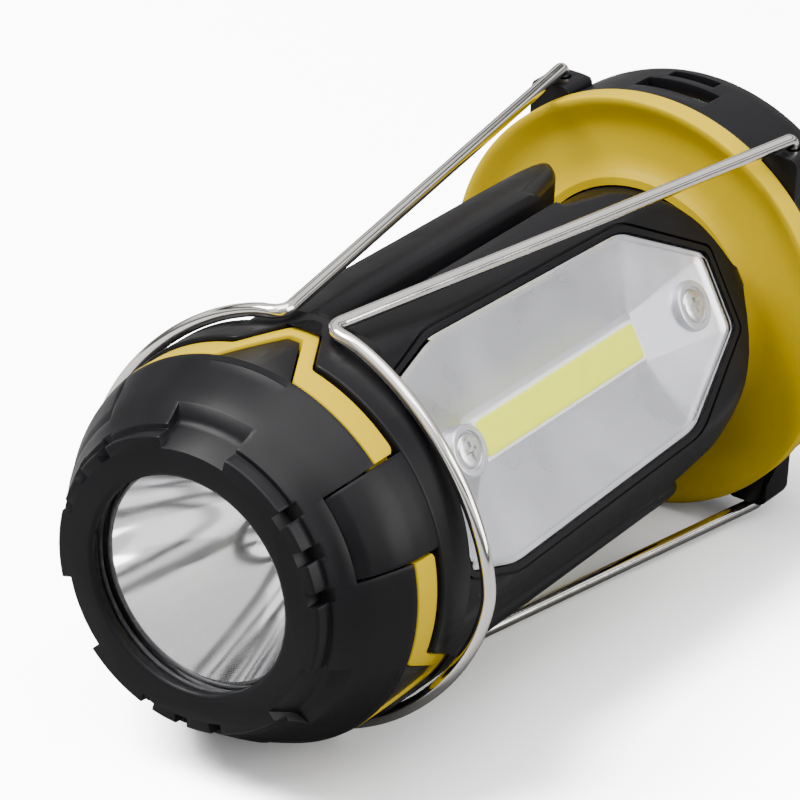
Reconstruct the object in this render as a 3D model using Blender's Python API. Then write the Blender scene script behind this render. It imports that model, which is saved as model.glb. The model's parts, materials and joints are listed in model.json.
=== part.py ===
"""Solar camping lantern lying on its side, with a torch head, three side lamps and two wire bails.

Everything is modelled around the lantern's own axis, which runs along +Y from the torch
face (y = 0) to the solar panel. Angles around that axis are measured from +Z towards +X.
The whole lantern hangs from one empty, which lays it down on the surface it rests on.
"""
from math import atan2, cos, pi, radians, sin, sqrt

import bmesh
import bpy
from mathutils import Matrix, Vector

MM = 0.001
GAP = 0.3 * MM                      # clearance between neighbouring pieces

# stations along the axis
HEAD_REAR = 14.5 * MM               # rear rim of the torch head
TRIM_FRONT = HEAD_REAR + GAP
TRIM_WIDTH = 4.9 * MM
TRIM_PEAK = 11.0 * MM               # how far the zigzag steps back over each valley
COLLAR_REAR = 27.4 * MM             # the window flats start here
BODY_REAR = 123.0 * MM              # far end of the window pads
DISC_FRONT = 125.6 * MM             # front edge of the flange's rim
DISC_REAR = 127.8 * MM
CAP_FRONT = DISC_REAR + GAP
LANTERN_LENGTH = 145.0 * MM

# radii
TORCH_OPENING = 17.3 * MM
CROWN_FACE = 23.5 * MM
CROWN_BAND = 23.9 * MM
HEAD_RADIUS = 31.0 * MM
COLLAR_RADIUS = 31.6 * MM
REFLECTOR_REAR = 25.5 * MM          # station of the reflector's throat
SPIGOT_RADIUS = 28.0 * MM           # the body's spigot inside the head and the trim
BARREL = (                          # (radius, station) pairs: the barrel tapers, then rounds off
    (30.7 * MM, 32.0 * MM), (29.6 * MM, 103.0 * MM), (28.5 * MM, 110.0 * MM), (27.2 * MM, 115.0 * MM),
    (25.6 * MM, 119.0 * MM), (23.6 * MM, 121.8 * MM), (21.5 * MM, BODY_REAR),
)
BODY_BORE = 17.0 * MM
CORE_RADIUS = 19.8 * MM
DISC_RADIUS = 35.3 * MM
CAP_FRONT_RADIUS = 34.9 * MM
CAP_REAR_RADIUS = 34.3 * MM
CAP_BORE = 32.4 * MM

# the three windows
WINDOWS = (60, 180, 300)            # degrees round the axis
VALLEYS = (0, 120, 240)
FLAT = 23.8 * MM                    # distance of a window flat from the axis
WINDOW_NEAR = (15.4 * MM, 33.5 * MM)          # half width and station of each corner
WINDOW_NEAR_SHOULDER = (18.2 * MM, 43.5 * MM)
WINDOW_FAR_SHOULDER = (16.6 * MM, 96.3 * MM)
WINDOW_FAR = (6.4 * MM, 115.1 * MM)
TONGUE_HALF = 14.0                  # degrees, half width of the tongues that lock the head
SCOOP_HALF = 14.5                   # degrees, half width of the crown's scoops
COVER_FOOT = FLAT - 1.6 * MM        # underside of the clear cover
TRAY_TOP = COVER_FOOT - GAP
TRAY_FLOOR = FLAT - 4.2 * MM        # distance of the tray's floor from the axis
TRAY_WALL = 0.9 * MM
COB_START = 48.4 * MM
COB_END = 94.0 * MM
COB_WIDTH = 6.8 * MM
SCREW_NEAR = 44.1 * MM
SCREW_FAR = 108.5 * MM
BOSS_RADIUS = 4.0 * MM
BOSS_TOP = COVER_FOOT - 0.7 * MM    # the screws' heads sit on the bosses
SCREW_HOLE = 1.35 * MM
SCREW_RADIUS = 2.8 * MM

# wire bails
WIRE_RADIUS = 1.1 * MM
BAIL_HALF = 32.8 * MM               # half the distance between a bail's two arms
HINGE_OUT = 21.8 * MM               # distance of the hinge line from the lantern's middle plane
HINGE_Y = 132.1 * MM
BAIL_CORNER_OUT = 3.9 * MM
BAIL_CORNER_Y = 27.8 * MM
BAIL_BULGE = 31.9 * MM
BAIL_TIP_Y = 25.9 * MM
LUG_OUT = (17.9 * MM, 25.2 * MM)
LUG_TOP = 31.2 * MM
LUG_Y = (CAP_FRONT, 136.2 * MM)

# ports, button and panel
USB_Y = 134.0 * MM
USB_SIZE = (13.6 * MM, 4.6 * MM)
MICRO_Y = 139.4 * MM
MICRO_SIZE = (8.8 * MM, 2.6 * MM)
PORT_ANGLE = radians(-2)
BUTTON_ANGLE = radians(270)
BUTTON_Y = 133.5 * MM
BUTTON_SIZE = (9.0 * MM, 4.2 * MM)  # round the cap, along the axis
BUTTON_FOOT = (11.5 * MM, 5.4 * MM)
PANEL_SIZE = 42.0 * MM

AROUND = 60                         # segments of a full turn


def material(name, colour, roughness, metallic=0.0, transmission=0.0):
    """A plain Principled material."""
    result = bpy.data.materials.new(name)
    result.use_nodes = True
    shader = result.node_tree.nodes["Principled BSDF"]
    shader.inputs["Base Color"].default_value = (*colour, 1.0)
    shader.inputs["Roughness"].default_value = roughness
    shader.inputs["Metallic"].default_value = metallic
    shader.inputs["Transmission Weight"].default_value = transmission
    return result


def polar(radius, angle, y):
    """A point at a radius and an angle (radians from +Z towards +X)."""
    return Vector((radius * sin(angle), y, radius * cos(angle)))


def add_object(name, bm, look, smooth=35):
    """Closes off a bmesh as a named object under the lantern's empty."""
    bmesh.ops.recalc_face_normals(bm, faces=bm.faces)
    mesh = bpy.data.meshes.new(name)
    bm.to_mesh(mesh)
    bm.free()
    if smooth:
        mesh.shade_smooth()
        mesh.set_sharp_from_angle(angle=radians(smooth))
    return place(name, mesh, look)


def place(name, mesh, look):
    """Puts a mesh, which may be shared, into the scene."""
    obj = bpy.data.objects.new(name, mesh)
    if look and not mesh.materials:
        mesh.materials.append(look)
    bpy.context.collection.objects.link(obj)
    obj.parent = lantern
    return obj


def skin(bm, rings, closed):
    """Bridges rings of the same number of vertices; each ring is a closed loop."""
    pairs = list(zip(rings, rings[1:]))
    if closed:
        pairs.append((rings[-1], rings[0]))
    for first, second in pairs:
        for i in range(len(first)):
            j = (i + 1) % len(first)
            bm.faces.new((first[i], first[j], second[j], second[i]))


def turned(profile, segments=AROUND):
    """A closed profile of (radius, y) points turned about the axis."""
    return sections([(2 * pi * i / segments, profile) for i in range(segments)], True)


def sections(stations, closed):
    """A skin through (angle, profile) stations, either all the way round or capped."""
    bm = bmesh.new()
    rings = [[bm.verts.new(polar(r, angle, y)) for r, y in profile] for angle, profile in stations]
    skin(bm, rings, closed)
    if not closed:
        bm.faces.new(rings[0])
        bm.faces.new(rings[-1])
    return bm


def turned_solid(outline, segments=AROUND):
    """An open outline whose first and last points lie on the axis, turned to a solid."""
    bm = bmesh.new()
    first = bm.verts.new((0, outline[0][1], 0))
    last = bm.verts.new((0, outline[-1][1], 0))
    rings = []
    for r, y in outline[1:-1]:
        rings.append([bm.verts.new(polar(r, 2 * pi * i / segments, y)) for i in range(segments)])
    skin(bm, rings, False)
    for i in range(segments):
        j = (i + 1) % segments
        bm.faces.new((first, rings[0][i], rings[0][j]))
        bm.faces.new((last, rings[-1][j], rings[-1][i]))
    return bm


def prism(bm, outline, low, high, turn=0.0):
    """Extrudes an outline of (x, y) points from z = low to z = high, turned about the axis."""
    spin = Matrix.Rotation(turn, 3, "Y")
    rings = []
    for z in (low, high):
        rings.append([bm.verts.new(spin @ Vector((x, y, z))) for x, y in outline])
    skin(bm, rings, False)
    bm.faces.new(rings[0])
    bm.faces.new(rings[1])


def box(bm, x, y, z, turn=0.0):
    """A box between pairs of limits, turned about the axis."""
    prism(bm, [(x[0], y[0]), (x[1], y[0]), (x[1], y[1]), (x[0], y[1])], z[0], z[1], turn)


def rod(bm, radius, start, end, segments=24):
    """A round bar between two points."""
    start, end = Vector(start), Vector(end)
    axis = end - start
    turn = axis.to_track_quat("Z", "Y").to_matrix()
    rings = []
    for centre in (start, end):
        ring = []
        for i in range(segments):
            angle = 2 * pi * i / segments
            ring.append(bm.verts.new(centre + turn @ Vector((radius * cos(angle), radius * sin(angle), 0))))
        rings.append(ring)
    skin(bm, rings, False)
    bm.faces.new(rings[0])
    bm.faces.new(rings[1])


def combine(obj, name, bm, operation="DIFFERENCE"):
    """Cuts a hidden helper solid out of an object, or joins it on."""
    cutter = add_object(name, bm, None, smooth=0)
    cutter.hide_render = True
    cutter.display_type = "WIRE"
    modifier = obj.modifiers.new(name, "BOOLEAN")
    modifier.operation = operation
    modifier.solver = "EXACT"
    modifier.object = cutter


def window_outline(margin=0.0):
    """The long octagon of a window, in (x, y), grown by a margin."""
    half = [
        (WINDOW_NEAR[0] + margin * 0.7, WINDOW_NEAR[1] - margin),
        (WINDOW_NEAR_SHOULDER[0] + margin, WINDOW_NEAR_SHOULDER[1]),
        (WINDOW_FAR_SHOULDER[0] + margin, WINDOW_FAR_SHOULDER[1] + margin * 0.5),
        (WINDOW_FAR[0] + margin * 0.5, WINDOW_FAR[1] + margin),
    ]
    return half + [(-x, y) for x, y in reversed(half)]


def valley_distance(angle):
    """Degrees from an angle (degrees) to the middle of the nearest valley."""
    return min(abs((angle - valley + 180) % 360 - 180) for valley in VALLEYS)


def zigzag(angle):
    """How far the trim has stepped back at an angle (degrees): 0 at windows, 1 at valleys."""
    return min(1.0, max(0.0, (13.0 - valley_distance(angle)) / 11.0))


# torch head

def head_profile():
    """Outer line of the head from the crown's face to its rear rim, then its inner line."""
    return [
        (TORCH_OPENING, 0.9 * MM), (TORCH_OPENING + 0.6 * MM, 0),
        (CROWN_FACE, 0), (CROWN_BAND, 2.3 * MM), (25.5 * MM, 4.2 * MM),
        (27.6 * MM, 7.4 * MM), (29.4 * MM, 11.0 * MM), (HEAD_RADIUS, HEAD_REAR),
        (SPIGOT_RADIUS + 0.4 * MM, HEAD_REAR), (SPIGOT_RADIUS + 0.4 * MM, 11.3 * MM),
        (26.0 * MM, 7.9 * MM), (22.6 * MM, 5.6 * MM),
        (19.4 * MM, 4.6 * MM), (19.4 * MM, 1.7 * MM), (TORCH_OPENING, 1.7 * MM),
    ]


def add_head(black):
    """The torch head: crown with scoops and slots, and notches for the body's tongues."""
    head = add_object("head_shell", turned(head_profile()), black)
    tabs = bmesh.new()
    for valley in VALLEYS:
        stations = []
        for step in range(-6, 7):
            angle = valley + step * 13.0 / 6
            rear = TRIM_FRONT - 2 * GAP + (TRIM_PEAK - 0.3 * MM) * zigzag(angle)
            low, high = 28.55 * MM, 30.6 * MM
            profile = [(low, HEAD_REAR - 1.2 * MM), (high, HEAD_REAR - 1.2 * MM), (high, rear), (low, rear)]
            stations.append((radians(angle), profile))
        piece = sections(stations, False)
        merge(tabs, piece)
    combine(head, "head_tabs", tabs, "UNION")
    scoops = bmesh.new()
    for valley in VALLEYS:
        floor = [(21.2 * MM, -1 * MM), (24.0 * MM, 4.6 * MM)]
        rear = [(27.5 * MM, 6.3 * MM), (32 * MM, 6.3 * MM), (32 * MM, -1 * MM)]
        stations = [(radians(valley + SCOOP_HALF * step / 5), floor + rear) for step in range(-5, 6)]
        merge(scoops, sections(stations, False))
    combine(head, "crown_scoops", scoops)
    slots = bmesh.new()
    for window in WINDOWS:
        for offset in (-16, 0, 16):
            turn = radians(window + offset)
            box(slots, (-1.1 * MM, 1.1 * MM), (-1 * MM, 3.0 * MM), (21.8 * MM, 27 * MM), turn)
    combine(head, "crown_slots", slots)
    notches = bmesh.new()
    for window in WINDOWS:
        profile = [(20 * MM, 6.0 * MM), (34 * MM, 6.0 * MM), (34 * MM, 16 * MM), (20 * MM, 16 * MM)]
        half = TONGUE_HALF + 0.6
        stations = [(radians(window + half * step / 4), profile) for step in range(-4, 5)]
        merge(notches, sections(stations, False))
    combine(head, "tongue_notches", notches)


def merge(target, piece):
    """Copies one bmesh into another and frees it."""
    mesh = bpy.data.meshes.new("piece")
    piece.to_mesh(mesh)
    piece.free()
    target.from_mesh(mesh)
    bpy.data.meshes.remove(mesh)


def add_torch(metal, clear, rubber, phosphor, aluminium):
    """Lens, seal, reflector, light source and its board, front to back."""
    lens = [(0, 2.0 * MM), (19.1 * MM, 2.0 * MM), (19.1 * MM, 3.4 * MM), (0, 3.4 * MM)]
    add_object("torch_lens", turned_solid(lens, 48), clear)
    seal = []
    for i in range(6):
        angle = 2 * pi * i / 6
        seal.append((18.5 * MM + 0.38 * MM * cos(angle), 4.1 * MM + 0.38 * MM * sin(angle)))
    add_object("lens_seal", turned(seal, 32), rubber)
    rim, throat, front, rear = 17.0 * MM, 3.6 * MM, 5.3 * MM, REFLECTOR_REAR
    inner, outer = [], []
    for i in range(9):
        radius = rim + (throat - rim) * i / 8
        y = rear - (rear - front) * (radius ** 2 - throat ** 2) / (rim ** 2 - throat ** 2)
        inner.append((radius, y))
        outer.append((radius + 0.8 * MM, y + 0.5 * MM))
    flange = [(20.3 * MM, front + 0.9 * MM), (20.3 * MM, front)]
    add_object("torch_reflector", turned(inner + outer[::-1] + flange, 48), metal)
    dome = [(0, 0), (1.3 * MM, 0.3 * MM), (2.3 * MM, 1.2 * MM), (2.6 * MM, 2.7 * MM), (0, 2.7 * MM)]
    dome = [(r, REFLECTOR_REAR - 1.9 * MM + y) for r, y in dome]
    add_object("torch_led", turned_solid(dome, 24), phosphor)
    face = REFLECTOR_REAR + 1.1 * MM
    board = [(0, face), (14.0 * MM, face), (14.0 * MM, face + 1.6 * MM), (0, face + 1.6 * MM)]
    add_object("torch_led_board", turned_solid(board, 40), aluminium)


def trim_angles():
    """Angles (degrees) of the trim's stations, with close pairs where the tongues cross it."""
    angles = set(range(0, 360, 6))
    for window in WINDOWS:
        for edge in (window - TONGUE_HALF - 0.7, window + TONGUE_HALF + 0.7):
            side = 1 if edge > window else -1
            angles.update(edge + side * step for step in (0.0, 0.35, 1.1, 2.3))
            angles.add(edge - side * 0.05)
    for valley in VALLEYS:
        angles.update(valley + step for step in (-13, -2, 2, 13))
    return sorted(angle % 360 for angle in angles)


def add_trim(yellow):
    """The yellow zigzag band, which dives under the three tongues."""
    stations = []
    for angle in trim_angles():
        front = TRIM_FRONT + TRIM_PEAK * zigzag(angle)
        rear = front + TRIM_WIDTH
        clear = min(abs((angle - window + 180) % 360 - 180) for window in WINDOWS) - TONGUE_HALF - 0.7
        outer = HEAD_RADIUS
        if clear < 0:
            outer = SPIGOT_RADIUS + 1.3 * MM
        elif clear < 2.3:
            rear -= 1.2 * MM * (1 - sqrt(1 - (1 - clear / 2.3) ** 2))
        inner = SPIGOT_RADIUS + GAP
        stations.append((radians(angle), [(inner, front), (outer, front), (outer, rear), (inner, rear)]))
    add_object("trim_ring", sections(stations, True), yellow)


# body

def tongue_profile():
    """Section of a tongue: a chamfered nose, a rising back and a hollow underside."""
    return [
        (26.3 * MM, 6.3 * MM), (27.9 * MM, 7.9 * MM), (30.2 * MM, 12.0 * MM), (30.9 * MM, 14.6 * MM),
        (31.4 * MM, 19.0 * MM), (31.45 * MM, 21.7 * MM), (29.6 * MM, 21.7 * MM),
        (29.6 * MM, 14.2 * MM), (27.4 * MM, 11.6 * MM), (24.6 * MM, 6.9 * MM),
    ]


def body_profile():
    """Spigot, barrel and neck of the body, with its bore."""
    return [
        (25.0 * MM, 10.8 * MM), (27.6 * MM, 10.8 * MM), (SPIGOT_RADIUS, 11.4 * MM),
        (SPIGOT_RADIUS, BARREL[0][1]), *BARREL,
        (CORE_RADIUS, BODY_REAR), (CORE_RADIUS, 131.0 * MM), (BODY_BORE, 131.0 * MM),
        (BODY_BORE, 25.8 * MM), (25.0 * MM, 24.0 * MM),
    ]


def beam(bm, section, low, high, turn):
    """Extrudes a section of (x, z) points from y = low to y = high, turned about the axis."""
    spin = Matrix.Rotation(turn, 3, "Y")
    rings = []
    for y in (low, high):
        rings.append([bm.verts.new(spin @ Vector((x, y, z))) for x, z in section])
    skin(bm, rings, False)
    bm.faces.new(rings[0])
    bm.faces.new(rings[1])


def far_notch():
    """Outline of the gap between two window pads at their far ends, in (x, y)."""
    half = [(2.2, 94.5), (5.0, 104.6), (9.8, 111.2), (16.0, 117.8), (20.2, 121.4), (20.2, 124.0)]
    half = [(x * MM, y * MM) for x, y in half]
    return half + [(-x, y) for x, y in reversed(half)]


def add_body(black):
    """The three-sided body: collar with tongues, window flats and pockets, and valleys."""
    body = add_object("body_shell", turned(body_profile()), black)
    collar = []
    corners = {(valley + step) % 360 for valley in VALLEYS for step in (-13, -2, 2, 13)}
    for angle in sorted(corners | {start + 2.5 for start in range(0, 360, 5)}):
        front = TRIM_FRONT + TRIM_WIDTH + 2 * GAP + TRIM_PEAK * zigzag(angle)
        low = SPIGOT_RADIUS - 0.6 * MM
        profile = [(low, front), (COLLAR_RADIUS, front), (COLLAR_RADIUS, 32.6 * MM), (low, 32.6 * MM)]
        collar.append((radians(angle), profile))
    combine(body, "collar", sections(collar, True), "UNION")
    tongues = bmesh.new()
    for window in WINDOWS:
        stations = [(radians(window + TONGUE_HALF * step / 4), tongue_profile()) for step in range(-4, 5)]
        merge(tongues, sections(stations, False))
    combine(body, "tongues", tongues, "UNION")
    flats, valleys, notches, pockets = bmesh.new(), bmesh.new(), bmesh.new(), bmesh.new()
    groove = [(-2.2 * MM, 31.6 * MM), (2.2 * MM, 31.6 * MM), (0.6 * MM, 26.0 * MM), (-0.6 * MM, 26.0 * MM)]
    for window, valley in zip(WINDOWS, VALLEYS):
        box(flats, (-25 * MM, 25 * MM), (COLLAR_REAR, 124 * MM), (FLAT, 36 * MM), radians(window))
        beam(valleys, groove, 35.5 * MM, 97 * MM, radians(valley))
        prism(notches, far_notch(), 13 * MM, 36 * MM, radians(valley))
        prism(pockets, window_outline(GAP), TRAY_FLOOR - 1.3 * MM, 36 * MM, radians(window))
    combine(body, "window_flats", flats)
    combine(body, "valley_grooves", valleys)
    combine(body, "far_notches", notches)
    low, high = BODY_BORE + 0.3 * MM, CORE_RADIUS + 0.1 * MM
    core = turned([(low, 90 * MM), (high, 90 * MM), (high, 124.6 * MM), (low, 124.6 * MM)])
    combine(body, "core", core, "UNION")
    combine(body, "window_pockets", pockets)


def cover_mesh():
    """A clear window cover with a bevelled edge."""
    bm = bmesh.new()
    rings = []
    for margin, z in ((0, COVER_FOOT), (0, FLAT - 0.5 * MM), (-1.0 * MM, FLAT + 0.2 * MM)):
        rings.append([bm.verts.new((x, y, z)) for x, y in window_outline(margin)])
    skin(bm, rings, False)
    bm.faces.new(rings[0])
    bm.faces.new(rings[-1])
    return bm


def tray_mesh():
    """A reflector tray: an octagonal hopper that slopes down to the light strip's floor."""
    side, end = COB_WIDTH / 2 + 1.0 * MM, 0.9 * MM
    floor = [
        (side - 0.4 * MM, COB_START - end), (side, COB_START - end + 0.4 * MM),
        (side, COB_END + end - 0.4 * MM), (side - 0.4 * MM, COB_END + end),
    ]
    floor += [(-x, y) for x, y in reversed(floor)]
    bm = bmesh.new()
    rings = []
    for outline, z in (
        (window_outline(-0.1 * MM), TRAY_FLOOR - 1.0 * MM),
        (window_outline(-0.1 * MM), TRAY_TOP),
        (window_outline(-TRAY_WALL), TRAY_TOP),
        (floor, TRAY_FLOOR),
    ):
        rings.append([bm.verts.new((x, y, z)) for x, y in outline])
    skin(bm, rings, False)
    bm.faces.new(rings[0])
    bm.faces.new(rings[-1])
    return bm


def screw_mesh(y):
    """A pan-head tray screw with a cross slot."""
    bm = turned_solid([(0, 0), (2.3 * MM, 0), (SCREW_RADIUS, -0.3 * MM), (SCREW_RADIUS, -0.6 * MM),
                       (1.0 * MM, -0.6 * MM), (1.0 * MM, -2.6 * MM), (0, -2.6 * MM)], 20)
    bmesh.ops.rotate(bm, verts=bm.verts, matrix=Matrix.Rotation(pi / 2, 3, "X"))
    bmesh.ops.translate(bm, verts=bm.verts, vec=(0, y, COVER_FOOT - 0.05 * MM))
    return bm


def screw_hole(y):
    """Cutter for a screw's hole and the seat round its head."""
    low, seat = TRAY_FLOOR - 2 * MM, SCREW_RADIUS + GAP
    bm = turned_solid([(0, -FLAT), (seat, -FLAT), (seat, -BOSS_TOP), (SCREW_HOLE, -BOSS_TOP),
                       (SCREW_HOLE, -low), (0, -low)], 20)
    bmesh.ops.rotate(bm, verts=bm.verts, matrix=Matrix.Rotation(-pi / 2, 3, "X"))
    bmesh.ops.translate(bm, verts=bm.verts, vec=(0, y, 0))
    return bm


def add_windows(clear, silver, phosphor, steel):
    """Cover, tray, light strip and two screws for each window, sharing their meshes."""
    kinds = {}
    for number, window in enumerate(WINDOWS, 1):
        turn = (0, radians(window), 0)
        if not kinds:
            tray = add_object("reflector_tray_1", tray_mesh(), silver)
            bosses, holes = bmesh.new(), bmesh.new()
            for y in (SCREW_NEAR, SCREW_FAR):
                rod(bosses, BOSS_RADIUS, (0, y, TRAY_FLOOR - 0.6 * MM), (0, y, BOSS_TOP), 20)
                merge(holes, screw_hole(y))
            combine(tray, "tray_bosses", bosses, "UNION")
            combine(tray, "tray_holes", holes)
            strip = bmesh.new()
            height = (TRAY_FLOOR + GAP, TRAY_FLOOR + 1.3 * MM)
            box(strip, (-COB_WIDTH / 2, COB_WIDTH / 2), (COB_START, COB_END), height)
            kinds["window_cover_"] = add_object("window_cover_1", cover_mesh(), clear, 20).data
            kinds["cob_strip_"] = add_object("cob_strip_1", strip, phosphor).data
            kinds["tray_screw_near_"] = add_object("tray_screw_near_1", screw_mesh(SCREW_NEAR), steel).data
            kinds["tray_screw_far_"] = add_object("tray_screw_far_1", screw_mesh(SCREW_FAR), steel).data
            for name in [*kinds, "reflector_tray_"]:
                bpy.data.objects[f"{name}1"].rotation_euler = turn
            for helper in ("tray_bosses", "tray_holes"):
                bpy.data.objects[helper].rotation_euler = turn
            continue
        for name, mesh in kinds.items():
            place(f"{name}{number}", mesh, None).rotation_euler = turn
        copy = place(f"reflector_tray_{number}", tray.data, None)
        copy.rotation_euler = turn
        for modifier in tray.modifiers:
            helper = place(f"{modifier.name}_{number}", modifier.object.data, None)
            helper.rotation_euler = turn
            helper.hide_render = True
            helper.display_type = "WIRE"
            added = copy.modifiers.new(modifier.name, "BOOLEAN")
            added.operation = modifier.operation
            added.solver = "EXACT"
            added.object = helper


# flange, end cap and electrics

def add_flange(yellow):
    """The dished yellow flange between body and end cap, with a sleeve round the neck."""
    sleeve = CORE_RADIUS + 0.4 * MM
    profile = [
        (sleeve, BODY_REAR + 0.6 * MM), (21.6 * MM, BODY_REAR + 0.7 * MM), (23.4 * MM, 125.9 * MM),
        (26 * MM, 127.3 * MM), (31 * MM, 126.8 * MM),
        (34.6 * MM, DISC_FRONT), (DISC_RADIUS, DISC_FRONT + 0.3 * MM), (DISC_RADIUS, DISC_REAR),
        (33.0 * MM, DISC_REAR), (CAP_BORE - 0.4 * MM, DISC_REAR + 0.4 * MM),
        (CAP_BORE - 0.4 * MM, 130.4 * MM), (sleeve, 130.4 * MM),
    ]
    add_object("flange_disc", turned(profile), yellow)


def add_cap(black):
    """The end cap: a cup with four lugs, two ports, a button hole and the panel's recess."""
    outer = [
        (0, CAP_FRONT), (CAP_FRONT_RADIUS, CAP_FRONT), (CAP_REAR_RADIUS, 141.8 * MM),
        (33.6 * MM, 143.9 * MM), (31.8 * MM, LANTERN_LENGTH), (0, LANTERN_LENGTH),
    ]
    cap = add_object("end_cap", turned_solid(outer), black)
    lugs, bore, holes = bmesh.new(), bmesh.new(), bmesh.new()
    for side in (-1, 1):
        for level in (-1, 1):
            x = sorted((side * LUG_OUT[0], side * LUG_OUT[1]))
            z = sorted((level * 20 * MM, level * LUG_TOP))
            box(lugs, x, LUG_Y, z)
            out = side * HINGE_OUT
            rod(holes, WIRE_RADIUS + 0.4 * MM, (out, HINGE_Y, level * 28.2 * MM), (out, HINGE_Y, level * 34 * MM), 16)
    combine(cap, "lugs", lugs, "UNION")
    merge(bore, turned_solid([(0, 126 * MM), (CAP_BORE, 126 * MM), (CAP_BORE, 141.6 * MM), (0, 141.6 * MM)]))
    combine(cap, "cap_bore", bore)
    combine(cap, "lug_holes", holes)
    ports = bmesh.new()
    for y, (width, height) in ((USB_Y, USB_SIZE), (MICRO_Y, MICRO_SIZE)):
        box(ports, (-width / 2, width / 2), (y - height / 2, y + height / 2), (28 * MM, 38 * MM), PORT_ANGLE)
    across, along = BUTTON_SIZE[0] / 2 + GAP, BUTTON_SIZE[1] / 2 + GAP
    box(ports, (-across, across), (BUTTON_Y - along, BUTTON_Y + along), (31.7 * MM, 37 * MM), BUTTON_ANGLE)
    half = PANEL_SIZE / 2 + GAP
    box(ports, (-half, half), (143.4 * MM, 147 * MM), (-half, half))
    combine(cap, "cap_openings", ports)
    leads = bmesh.new()
    rod(leads, 1.6 * MM, (8 * MM, 140 * MM, 0), (8 * MM, 144 * MM, 0), 12)
    combine(cap, "panel_lead_hole", leads)


def socket(name, look, y, width, height, top, depth, turn):
    """A metal socket shell open towards the outside, with its contact tongue."""
    shell = bmesh.new()
    box(shell, (-width / 2, width / 2), (y - height / 2, y + height / 2), (top - depth, top), turn)
    obj = add_object(name, shell, look)
    hollow, tongue = bmesh.new(), bmesh.new()
    wall = 0.4 * MM
    inside = (top - depth * 0.75, top + MM)
    box(hollow, (-width / 2 + wall, width / 2 - wall), (y - height / 2 + wall, y + height / 2 - wall), inside, turn)
    combine(obj, f"{name}_hollow", hollow)
    blade = (top - depth * 0.8, top - 1.2 * MM)
    box(tongue, (-width / 2 + 1.2 * MM, width / 2 - 1.2 * MM), (y + height * 0.02, y + height * 0.22), blade, turn)
    combine(obj, f"{name}_tongue", tongue, "UNION")


def add_electrics(board_look, steel, cell_look, panel_look, black, rubber):
    """Board, sockets, switch, battery with its holder, and the solar panel."""
    board = [(0, 136.6 * MM), (31.0 * MM, 136.6 * MM), (31.0 * MM, 137.8 * MM), (0, 137.8 * MM)]
    add_object("main_board", turned_solid(board, 48), board_look)
    socket("usb_a_socket", steel, USB_Y, 12.9 * MM, 4.4 * MM, 31.0 * MM, 13.5 * MM, PORT_ANGLE)
    socket("micro_usb_socket", steel, MICRO_Y, 7.8 * MM, 2.4 * MM, 31.4 * MM, 5.6 * MM, PORT_ANGLE)
    switch = bmesh.new()
    box(switch, (-3.1 * MM, 3.1 * MM), (131.6 * MM, 136.3 * MM), (26.4 * MM, 29.4 * MM), BUTTON_ANGLE)
    add_object("button_switch", switch, rubber)
    cell = [(0, 41.5 * MM), (9.1 * MM, 41.5 * MM), (9.1 * MM, 106.5 * MM), (0, 106.5 * MM)]
    add_object("battery_cell", turned_solid(cell, 32), cell_look)
    flange = BODY_BORE - GAP
    holder = [
        (9.5 * MM, 42 * MM), (flange, 42 * MM), (flange, 44 * MM), (10.9 * MM, 44 * MM),
        (10.9 * MM, 104 * MM), (flange, 104 * MM), (flange, 106 * MM), (9.5 * MM, 106 * MM),
    ]
    add_object("battery_holder", turned(holder, 28), black)
    panel = bmesh.new()
    half = PANEL_SIZE / 2
    box(panel, (-half, half), (143.7 * MM, 144.9 * MM), (-half, half))
    add_object("solar_panel", panel, panel_look)


def add_button(rubber):
    """The push button, whose origin lies on its own axis just inside the cap's wall."""
    bm = bmesh.new()
    rings = []
    for (width, height), z in (
        (BUTTON_FOOT, 0), (BUTTON_FOOT, 1.1 * MM), (BUTTON_SIZE, 1.1 * MM),
        (BUTTON_SIZE, 4.8 * MM), ((BUTTON_SIZE[0] - MM, BUTTON_SIZE[1] - MM), 5.3 * MM),
    ):
        signs = ((-1, -1), (1, -1), (1, 1), (-1, 1))
        rings.append([bm.verts.new((a * width / 2, b * height / 2, z)) for a, b in signs])
    skin(bm, rings, False)
    bm.faces.new(rings[0])
    bm.faces.new(rings[-1])
    button = add_object("power_button", bm, rubber)
    button.location = polar(30.3 * MM, BUTTON_ANGLE, BUTTON_Y)
    button.rotation_euler = (0, BUTTON_ANGLE, 0)


# bails

def fillet(before, corner, after, radius, steps):
    """Points of a smooth bend that starts and ends a radius away from a corner."""
    start = corner + (before - corner).normalized() * radius
    end = corner + (after - corner).normalized() * radius
    points = []
    for i in range(steps + 1):
        t = i / steps
        points.append(start * (1 - t) ** 2 + corner * 2 * t * (1 - t) + end * t ** 2)
    return points


def bail_path():
    """Centre line of a bail from lug to lug, as (out, y, along the hinge) from the hinge."""
    tip = Vector((0, 0, 29.0 * MM))
    knee = Vector((0, 0, BAIL_HALF))
    corner = Vector((BAIL_CORNER_OUT - HINGE_OUT, BAIL_CORNER_Y - HINGE_Y, BAIL_HALF))
    arc = []
    steps = 24
    for i in range(steps + 1):
        s = pi * i / steps
        rise = sin(s) ** 1.2
        spread = abs(cos(s)) ** 1.2 * (1 if cos(s) > 0 else -1)
        arc.append(corner + Vector((
            BAIL_BULGE * rise, (BAIL_TIP_Y - BAIL_CORNER_Y) * rise, BAIL_HALF * (spread - 1))))
    bend = 3.0 * MM
    free = [p for p in arc if p.z > 0 and (p - corner).length > bend * 1.3]
    half = [tip] + fillet(tip, knee, corner, 1.5 * MM, 4) + fillet(knee, corner, free[0], bend, 5) + free
    crown = [p for p in arc if abs(p.z) < 0.01 * MM]
    return half + crown + [Vector((p.x, p.y, -p.z)) for p in reversed(half)]


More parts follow.
